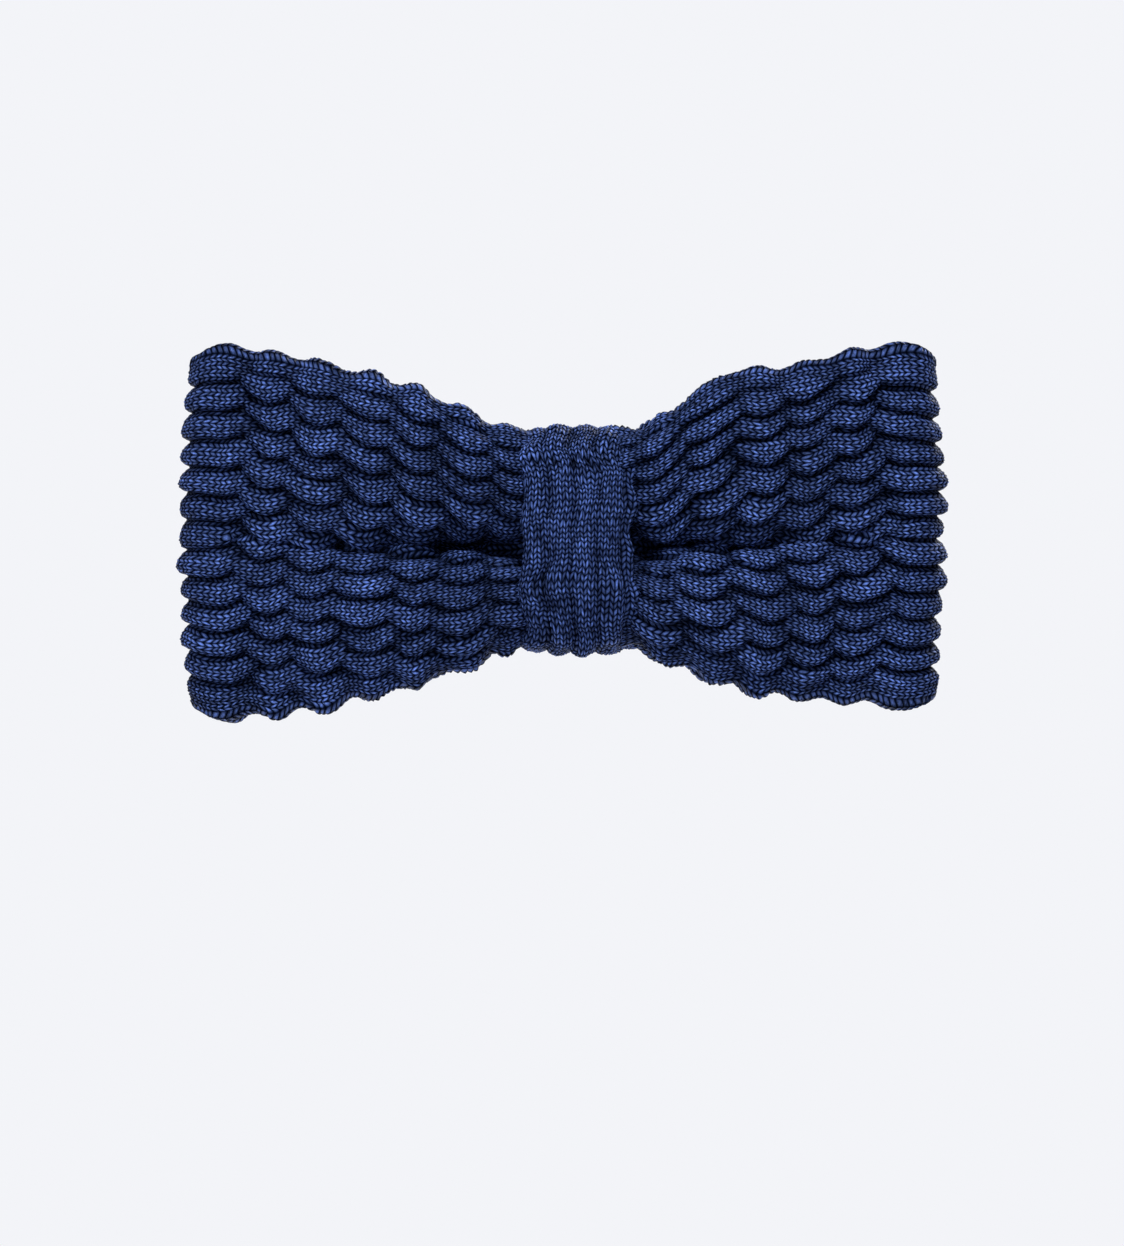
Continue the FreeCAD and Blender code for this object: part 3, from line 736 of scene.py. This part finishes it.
def floor():
    """A plain pale floor below the bow tie that fades into the backdrop at its rim."""
    turns = np.linspace(0, TAU, 96, endpoint=False)
    low = -FLOOR_DEPTH - FLOOR_THICKNESS
    profile = ((FLOOR_CENTRE, -FLOOR_DEPTH), (FLOOR_RADIUS, -FLOOR_DEPTH), (FLOOR_RADIUS, low),
               (FLOOR_CENTRE, low))
    rings = np.array([[(r * math.cos(a), r * math.sin(a), z) for a in turns]
                      for r, z in profile])
    disc = tube_mesh("floor", rings / MM)
    n = Nodes("pale_floor")
    place = n.place()
    speckle = n.math("MULTIPLY", n.noise(place, scale=40.0, detail=3.0), 0.08)
    n.set(Base_Color=n.mix(speckle, (0.86, 0.865, 0.88, 1), (0.7, 0.71, 0.73, 1)), Roughness=0.85)
    length = n.add("VectorMath", operation="LENGTH")
    n.link(place, length.inputs[0])
    rim = n.add("MapRange", interpolation_type="SMOOTHSTEP")
    n.link(length.outputs["Value"], rim.inputs["Value"])
    rim.inputs["From Min"].default_value = FLOOR_FADE[0] * FLOOR_RADIUS
    rim.inputs["From Max"].default_value = FLOOR_FADE[1] * FLOOR_RADIUS
    glow = n.add("Emission")
    glow.inputs["Color"].default_value = PALE
    blend = n.add("MixShader")
    n.link(rim.outputs[0], blend.inputs[0])
    n.link(n.shader.outputs[0], blend.inputs[1])
    n.link(glow.outputs[0], blend.inputs[2])
    n.link(blend.outputs[0], n.tree.nodes["Material Output"].inputs["Surface"])
    disc.data.materials.append(n.material)


def backdrop():
    """A pale backdrop whose light on the bow tie comes mostly from above."""
    world = bpy.data.worlds.new("studio")
    world.use_nodes = True
    tree = world.node_tree
    new = tree.nodes.new
    place, split = new("ShaderNodeTexCoord"), new("ShaderNodeSeparateXYZ")
    tree.links.new(place.outputs["Generated"], split.inputs[0])
    ramp = new("ShaderNodeValToRGB")
    stops = ((0.2, (0.06, 0.065, 0.08, 1)), (0.95, (0.5, 0.5, 0.53, 1)))
    for element, (position, color) in zip(ramp.color_ramp.elements, stops):
        element.position = position
        element.color = color
    lift = new("ShaderNodeMath")
    lift.operation = "MULTIPLY_ADD"
    lift.inputs[1].default_value = 0.5
    lift.inputs[2].default_value = 0.5
    tree.links.new(split.outputs[2], lift.inputs[0])
    tree.links.new(lift.outputs[0], ramp.inputs[0])
    mix, path = new("ShaderNodeMix"), new("ShaderNodeLightPath")
    mix.data_type = "RGBA"
    tree.links.new(path.outputs["Is Camera Ray"], mix.inputs[0])
    tree.links.new(ramp.outputs[0], mix.inputs[6])
    mix.inputs[7].default_value = PALE
    tree.links.new(mix.outputs[2], tree.nodes["Background"].inputs[0])
    bpy.context.scene.world = world


# ---- the felt inside

FELT_UNEVENNESS = 0.09
FELT_EDGE_STEPS = 3
# The felt behind a wing: its part of the wing's length, and (share, half its height)
STIFFENER_SHARES = (0.3, 0.78)
STIFFENER_HEIGHT = [(0.2, 13.0), (0.6, 17.5), (0.8, 18.5)]
STIFFENER_THICKNESS = 0.8
STIFFENER_GAP = 0.3
STIFFENER_SEED = 40
PAD_SEED = 5


def felt_sheet(name, outer, inner, rng):
    """A felt sheet between two grids of points, a little uneven."""
    rings = rounded_sheet(outer, inner, FELT_EDGE_STEPS)
    count, size = rings.shape[:2]
    rows, columns = np.meshgrid(np.arange(count), np.arange(size), indexing="ij")
    rings[..., 1] += FELT_UNEVENNESS * patchy(rng, rows, columns, 2.2)
    return tube_mesh(name, rings)


def wing_stiffener(name, wing):
    """The felt behind a wing's front layer, bent round the back of the pleat."""
    rng = np.random.default_rng(wing["seed"] + STIFFENER_SEED)
    end = STRIP_HIGH[0] if wing["side"] > 0 else -STRIP_LOW[0]
    share = np.linspace(*STIFFENER_SHARES, 56)
    z, behind, _ = wing_sections(wing, share, np.zeros(len(share)), np.linspace(0, 1, 400))
    crest = table(FRONT_PLAN, share)
    height = np.linspace(-1, 1, 60)[None, :] * table(STIFFENER_HEIGHT, share)[:, None]
    # The back of the wing's sheet: its face, pushed back by a disc whose radius is SHEET
    back = np.full(height.shape, -np.inf)
    for offset in np.linspace(-1, 1, 15) * SHEET:
        for row in range(len(share)):
            level = np.interp(height[row] + offset, z[row], behind[row])
            back[row] = np.maximum(back[row], level + math.sqrt(SHEET ** 2 - offset ** 2))
    x = wing["side"] * (PINCH_X + (end - PINCH_X) * share)[:, None] * np.ones_like(height)
    y = crest[:, None] + back + STIFFENER_GAP + BOW_Y
    outer = np.stack([x, y, height], -1)
    inner = outer + np.array([0, STIFFENER_THICKNESS, 0])
    return felt_sheet(name, outer, inner, rng)


def knot_pad():
    """The felt pad that rounds the face of the knot."""
    low, high = corners("knot_padding")
    z = np.linspace(low[2], high[2], 50)
    half = 0.82 * high[0] * np.sqrt(1 - 0.35 * (z / high[2]) ** 6)
    x = half[:, None] * np.linspace(-1, 1, 40)[None, :]
    face = low[1] + 0.35 * (x / high[0]) ** 4
    outer = np.stack([x, face, z[:, None] * np.ones_like(x)], -1)
    inner = np.stack([x, np.full_like(x, high[1]), outer[..., 2]], -1)
    return felt_sheet("knot_pad", outer, inner, np.random.default_rng(PAD_SEED))


# ---- sewing thread

THREAD_RADIUS = 0.21
THREAD_STEP = 0.1
PLIES = 3
PLY_SIDES = 6
# The length of thread in which its plies make one turn
TWIST = 1.1


def threads(name, paths):
    """Three-ply sewing thread laid along each path, all in one piece."""
    points, faces, first = [], [], 0
    around = np.linspace(0, TAU, PLY_SIDES, endpoint=False)
    ply_radius = THREAD_RADIUS / 2
    for path in paths:
        length = run_lengths(path)
        count = max(8, round(length[-1] / THREAD_STEP))
        even = np.linspace(0, length[-1], count)
        line = along_path(path, length, even)
        ahead = unit(np.gradient(line, axis=0))
        # Across the thread, from whichever axis it doesn't run along
        reference = np.where(np.abs(ahead[:, :1]) < 0.8, [[1.0, 0, 0]], [[0, 0, 1.0]])
        side = unit(np.cross(ahead, reference))
        up = np.cross(ahead, side)
        for ply in range(PLIES):
            turn = TAU * (even / TWIST + ply / PLIES)[:, None]
            centre = line + ply_radius * (side * np.cos(turn) + up * np.sin(turn))
            ring = [centre + ply_radius * (side * math.cos(a) + up * math.sin(a)) for a in around]
            points.append(np.stack(ring, 1).reshape(-1, 3))
            faces += [face + first for face in ring_faces(count, PLY_SIDES)]
            first += count * PLY_SIDES
    return mesh_piece(name, np.concatenate(points), faces)


def stitch_path(start, end, outwards):
    """A stitch that comes up at start, lies on the surface and goes down at end."""
    share = np.linspace(0, 1, 13)[:, None]
    arch = 0.6 * np.sin(math.pi * share) ** 0.4 - 0.36
    return start + (end - start) * share + arch * outwards


def ring_place(radius, bearing):
    """Places in plan on the ring round the neck."""
    turn = np.radians(bearing)
    return np.stack([-radius * np.sin(turn), radius * np.cos(turn)], -1)


def upright_stitch(foot, middle, half, outwards):
    """A stitch on a place in plan, that far up and down from its middle."""
    return stitch_path(*(foot + [0, 0, middle + end] for end in (-half, half)), outwards)


RIBBON_STITCHES = 6
RIBBON_MARGIN = 1


def ring_stitches(name, bearings, radius):
    """Columns of upright stitches on the outside of the band."""
    paths = []
    pitch = (RIBBON_HIGH[2] - RIBBON_LOW[2] - 2 * RIBBON_MARGIN) / RIBBON_STITCHES
    for bearing in bearings:
        foot = np.append(ring_place(radius, bearing), 0)
        for index in range(RIBBON_STITCHES):
            middle = RIBBON_LOW[2] + RIBBON_MARGIN + pitch * (index + 0.5)
            paths.append(upright_stitch(foot, middle, 1.15, unit(foot)))
    return threads(name, paths)


def knot_stitches():
    """The stitches across the closed ends of the knot band, next to the neck."""
    paths = []
    for index in range(-3, 4):
        foot = np.append(ring_place(NECK_RADIUS + 0.6, 180 + 1.9 * index), 0)
        paths.append(upright_stitch(foot, 0, 1.2, -unit(foot)))
    return threads("knot_stitches", paths)


def strip_stitches():
    """The stitches that join the ends of the strip behind the pinch."""
    low, high = corners("strip_end_seam")
    y = (low[1] + high[1]) / 2
    backwards = np.array([0, 1, 0])
    paths = []
    for z in np.arange(-4, 5) * 2.4:
        ends = [np.array([x, y, z]) for x in (low[0] - 0.2, high[0] + 0.2)]
        paths.append(stitch_path(*ends, backwards))
    return threads("strip_end_stitches", paths)


COIL_TURNS = 7
POINTS_PER_TURN = 90
# The power that squares up the coil's round section
COIL_SQUARENESS = 0.45


def pinch_coil():
    """One thread wound seven times round the waist of the bow."""
    low, high = corners("pinch_thread")
    half_deep, half_high = (high[1] - low[1]) / 2 - THREAD_RADIUS, high[2] - THREAD_RADIUS
    middle = (high[1] + low[1]) / 2
    turn = np.linspace(-math.pi / 2, TAU * COIL_TURNS - math.pi / 2, COIL_TURNS * POINTS_PER_TURN)
    around = np.stack([np.cos(turn), np.sin(turn)], 1)
    around = np.sign(around) * np.abs(around) ** COIL_SQUARENESS
    x = np.linspace(low[0] + THREAD_RADIUS, high[0] - THREAD_RADIUS, len(turn))
    path = np.stack([x, middle + half_deep * around[:, 0], half_high * around[:, 1]], 1)
    return threads("pinch_coil", [path])


# ---- the neckband

# Pitches of the ribs and of the warp threads that run over them
RIB = 0.75
WARP_PITCH = 0.17
SAMPLES_PER_RIB = 5
RIBBON_HALF_THICKNESS = 0.74
# How much thinner and narrower the ribbon is between its ribs, and the waves in its edges
RIB_RELIEF = 0.16
RIB_NARROWING = 0.009
EDGE_WAVE = 0.07
# Each edge stays inside the CAD ribbon, and the back ply's is a little further in
EDGE_INSET = 0.05
BACK_INSET = 0.12
# Radius of the fold round a fitting's bar
TURN_RADIUS = 1.5
# The bearing at which the neckband's two ribbons meet
RIBBON_SPLIT = 60.0
# Radii of the ribbon's middle round the neck: on it, inside the knot and through the slide
ON_NECK, IN_KNOT, IN_SLIDER = NECK_RADIUS + 0.75, NECK_RADIUS + 3.35, NECK_RADIUS + 2.55
EYE_BEARING, HOOK_BEARING = 347.0, 6.0
EYE_BAR = IN_SLIDER + TURN_RADIUS
HOOK_BAR = EYE_BAR + 1.3
# Where the doubled ends lie, on top of the run they are sewn to or slide along
ON_TAIL, ON_FOLD = IN_SLIDER + 1.9, HOOK_BAR + 0.15
BAND_STOPS = [(RIBBON_SPLIT, ON_NECK), (147, ON_NECK), (162, IN_KNOT), (198, IN_KNOT),
              (213, ON_NECK), (278, ON_NECK), (290, IN_SLIDER), (EYE_BEARING, IN_SLIDER)]
TAIL_STOPS = [(EYE_BEARING, EYE_BAR + TURN_RADIUS), (343, EYE_BAR + TURN_RADIUS),
              (335, ON_TAIL), (288, ON_TAIL)]
END_STOPS = [(RIBBON_SPLIT, ON_NECK), (56, ON_NECK), (42, IN_SLIDER), (31, IN_SLIDER),
             (22, HOOK_BAR - TURN_RADIUS), (HOOK_BEARING, HOOK_BAR - TURN_RADIUS)]
FOLD_STOPS = [(HOOK_BEARING, HOOK_BAR + TURN_RADIUS), (8, HOOK_BAR + TURN_RADIUS),
              (14, ON_FOLD), (21, ON_FOLD)]
# The bearings of the columns of stitches on the tail and on the hook's end
TAIL_STITCHES, HOOK_END_STITCHES = (290.2,), (16.5, 19.5)


def ring_run(stops):
    """A dense path on the ring through (bearing, radius) stops, easing from radius to radius."""
    parts = []
    for (start, radius), (end, new_radius) in zip(stops, stops[1:]):
        share = np.linspace(0, 1, max(3, int(abs(end - start) * 4)), endpoint=False)
        radii = radius + (new_radius - radius) * ease(share)
        parts.append(ring_place(radii, start + (end - start) * share))
    parts.append(ring_place(stops[-1][1], stops[-1][0])[None, :])
    return np.concatenate(parts)


def half_turn(bar, bearing, direction):
    """The path round a fitting's bar, from the neck's side to the outside."""
    turn = math.radians(bearing)
    outwards = np.array([-math.sin(turn), math.cos(turn)])
    ahead = direction * np.array([-math.cos(turn), -math.sin(turn)])
    angle = np.linspace(0, math.pi, 31)[1:-1, None]
    return ring_place(bar, bearing) + TURN_RADIUS * (ahead * np.sin(angle) - outwards * np.cos(angle))


def ribbon(name, path, side):
    """Two plies of grosgrain ribbon along a path in plan. side is +1 where the first face of the
    ribbon is on the left of the path."""
    length = run_lengths(path)
    ribs = round(length[-1] / RIB)
    line = along_path(path, length, np.linspace(0, length[-1], ribs * SAMPLES_PER_RIB + 1))
    ahead = unit(np.gradient(line, axis=0))
    outwards = side * np.stack([-ahead[:, 1], ahead[:, 0]], 1)
    ply = RIBBON_HALF_THICKNESS / 2
    half = RIBBON_HIGH[2] - ply - EDGE_INSET
    arch = np.linspace(math.pi / 2, -math.pi / 2, 6)
    edge = [(half + shift + ply * math.cos(a), centre + ply * math.sin(a))
            for centre, shift in ((ply, 0.0), (-ply, -BACK_INSET)) for a in arch]
    face = np.linspace(-half, half, 10)[1:-1]
    profile = ([(z, 2 * ply) for z in face] + edge + [(z, -2 * ply) for z in face[::-1]]
               + [(-z, d) for z, d in edge[::-1]])
    z, d = np.array(profile).T
    number = np.linspace(0, ribs, len(line))
    rib = np.abs(np.sin(math.pi * number)) ** 0.6
    rng = np.random.default_rng(len(line))
    wave = EDGE_WAVE * patchy(rng, number, number * 0, 14)
    thick = (1 - RIB_RELIEF + RIB_RELIEF * rib)[:, None] * d[None, :]
    x = line[:, :1] + outwards[:, :1] * thick
    y = line[:, 1:] + outwards[:, 1:] * thick
    tall = ((1 - RIB_NARROWING + RIB_NARROWING * rib)[:, None] * z[None, :]
            + wave[:, None] * (np.abs(z) / half)[None, :])
    rings = np.stack([x, y, tall], -1)
    uv = np.stack(np.meshgrid(number, z, indexing="ij"), -1)
    return tube_mesh(name, rings, flipped=side > 0, uv=uv)


def fabric_material(name, dark, light, sheen, grain):
    """Matt felt or thread. The higher the grain, the finer its fibres."""
    n = Nodes(name)
    place = n.place()
    fibre = n.noise(place, scale=grain, detail=4.0)
    cloud = n.noise(place, scale=grain / 14, detail=3.0)
    amount = n.math("MULTIPLY", fibre, n.scaled(cloud, by=0.9, plus=0.5), clamp=True)
    return n.set(Base_Color=n.mix(amount, dark, light),
                 Normal=n.bump(fibre, distance=0.2 * MM, strength=0.7),
                 Roughness=n.scaled(fibre, by=0.2, plus=0.65), Sheen_Weight=sheen,
                 Specular_IOR_Level=0.25)


def ribbon_material():
    """Grosgrain: fine warp threads over the ribs, with painted highlights on them and painted shade
    between them.
    """
    n = Nodes("navy_grosgrain")
    rib_number, height = n.stitch_numbers()

    def ridges(value, pitch):
        return n.math("ABSOLUTE", n.math("SINE", n.math("MULTIPLY", value, math.pi / pitch)))

    rib = n.math("POWER", ridges(rib_number, 1), 0.7)
    warp = ridges(height, WARP_PITCH)
    place = n.place()
    fibre = n.noise(place, scale=3500.0, detail=3.0)
    tone = n.noise(place, scale=70.0, detail=2.0)
    # Painted highlights on the ribs and the warp threads, and painted shade in the grooves between
    # them
    lit = n.math("MULTIPLY", rib, n.scaled(warp, by=0.5, plus=0.5))
    lit = n.math("MULTIPLY", lit, n.scaled(tone, by=0.8, plus=0.6))
    relief = n.scaled(warp, by=0.5, plus=n.math("MULTIPLY", fibre, 0.3))
    body = n.mix(lit, (0.001, 0.002, 0.008, 1), (0.017, 0.03, 0.095, 1))
    return n.set(Base_Color=body, Normal=n.bump(relief, distance=0.08 * MM),
                 Specular_IOR_Level=0.4, Specular_Tint=(0.6, 0.7, 1, 1),
                 Roughness=n.scaled(fibre, by=0.25, plus=0.4))


def metal_material():
    """Satin nickel plate, lightly rubbed."""
    n = Nodes("satin_nickel")
    place = n.place()
    cloud = n.noise(place, scale=260.0, detail=4.0)
    stretch = n.add("Mapping")
    n.link(place, stretch.inputs["Vector"])
    stretch.inputs["Scale"].default_value = (1, 1, 14)
    rubbed = n.noise(stretch.outputs[0], scale=900.0, detail=3.0)
    body = n.mix(cloud, (0.4, 0.395, 0.385, 1), (0.6, 0.605, 0.61, 1))
    rough = n.scaled(cloud, by=0.2, plus=n.scaled(rubbed, by=0.15, plus=0.14))
    return n.set(Base_Color=body, Metallic=1.0, Roughness=rough,
                 Normal=n.bump(rubbed, distance=0.03 * MM, strength=0.5))


THREAD = fabric_material("navy_thread", dark=(0.004, 0.008, 0.026, 1),
                         light=(0.06, 0.095, 0.25, 1), sheen=0.1, grain=5000.0)
FELT = fabric_material("dark_felt", dark=(0.008, 0.009, 0.014, 1),
                       light=(0.05, 0.055, 0.075, 1), sheen=0.15, grain=1600.0)
RIBBON = ribbon_material()
METAL = metal_material()


def finish_fitting(fitting):
    """Gives a CAD fitting its metal and takes the sharpness off its edges."""
    fitting.data.materials.clear()
    fitting.data.materials.append(METAL)
    bevel = fitting.modifiers.new("worn_edges", "BEVEL")
    bevel.width = 0.12 * MM
    bevel.segments = 2
    bevel.limit_method = "ANGLE"
    bevel.angle_limit = math.radians(35)


def place_piece(piece, material, slot, body, *nodes):
    """Gives a piece its material and its body if it rides on just one, and hides the CAD nodes it
    stands for. The slot is not used."""
    piece.data.materials.append(material)
    if body:
        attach(piece, body)
    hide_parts(*nodes)


def main():
    for side, wing in (("left", LEFT), ("right", RIGHT)):
        place_piece(knit_wing(side + "_wing", wing), KNIT, "knit", "bow", "bow_strip")
        place_piece(wing_stiffener(side + "_felt", wing), FELT, "felt", "bow", side + "_stiffener")
    place_piece(knot_band(), KNIT, "knit", "bow", "knot_band")
    place_piece(knot_pad(), FELT, "felt", "bow", "knot_padding")
    place_piece(pinch_coil(), THREAD, "thread", "bow", "pinch_thread")
    place_piece(strip_stitches(), THREAD, "thread", "bow", "strip_end_seam")
    place_piece(knot_stitches(), THREAD, "thread", "bow", "knot_seam")
    fold_face, tail_face = ON_FOLD + RIBBON_HALF_THICKNESS, ON_TAIL + RIBBON_HALF_THICKNESS
    place_piece(ring_stitches("hook_end_stitches", HOOK_END_STITCHES, fold_face),
                THREAD, "thread", "hook_end", "hook_end_stitching")
    place_piece(ring_stitches("tail_stitches", TAIL_STITCHES, tail_face),
                THREAD, "thread", "neckband", "tail_stitching")
    path = np.concatenate([ring_run(BAND_STOPS), half_turn(EYE_BAR, EYE_BEARING, 1),
                           ring_run(TAIL_STOPS)])
    place_piece(ribbon("neckband_ribbon", path, -1), RIBBON, "ribbon", "neckband", "neckband")
    path = np.concatenate([ring_run(END_STOPS), half_turn(HOOK_BAR, HOOK_BEARING, -1),
                           ring_run(FOLD_STOPS)])
    end = ribbon("hook_end_ribbon", path, 1)
    place_piece(end, RIBBON, "ribbon", None, "neckband_hook_end")
    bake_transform(end)
    for node in ("hook", "eye", "slider"):
        finish_fitting(frame["nodes"][node])


main()

floor()
backdrop()

scene = bpy.context.scene
scene.view_settings.view_transform = "Standard"
KNOT_FACE = (0, -0.07, 0)
area_light("key", (0.1, -0.55, 0.75), size=0.22, power=8, target=KNOT_FACE)
area_light("side", (-0.75, -0.6, 0.35), size=0.25, power=3.5, target=KNOT_FACE)
area_light("rim", (0.5, 0.7, 0.6), size=0.4, power=4, target=(0, 0, 0))

camera = bpy.data.objects.new("camera", bpy.data.cameras.new("camera"))
scene.collection.objects.link(camera)
camera.data.lens = 135
camera.data.sensor_width = 36
scene.camera = camera
# Straight in front of the bow, in metres
CAMERA_X, CAMERA_Z = -0.00203, -0.0129
CAMERA_DISTANCE = 0.727
camera.location = (CAMERA_X, BOW_Y * MM - CAMERA_DISTANCE, CAMERA_Z)
camera.rotation_euler = (math.pi / 2, 0, 0)
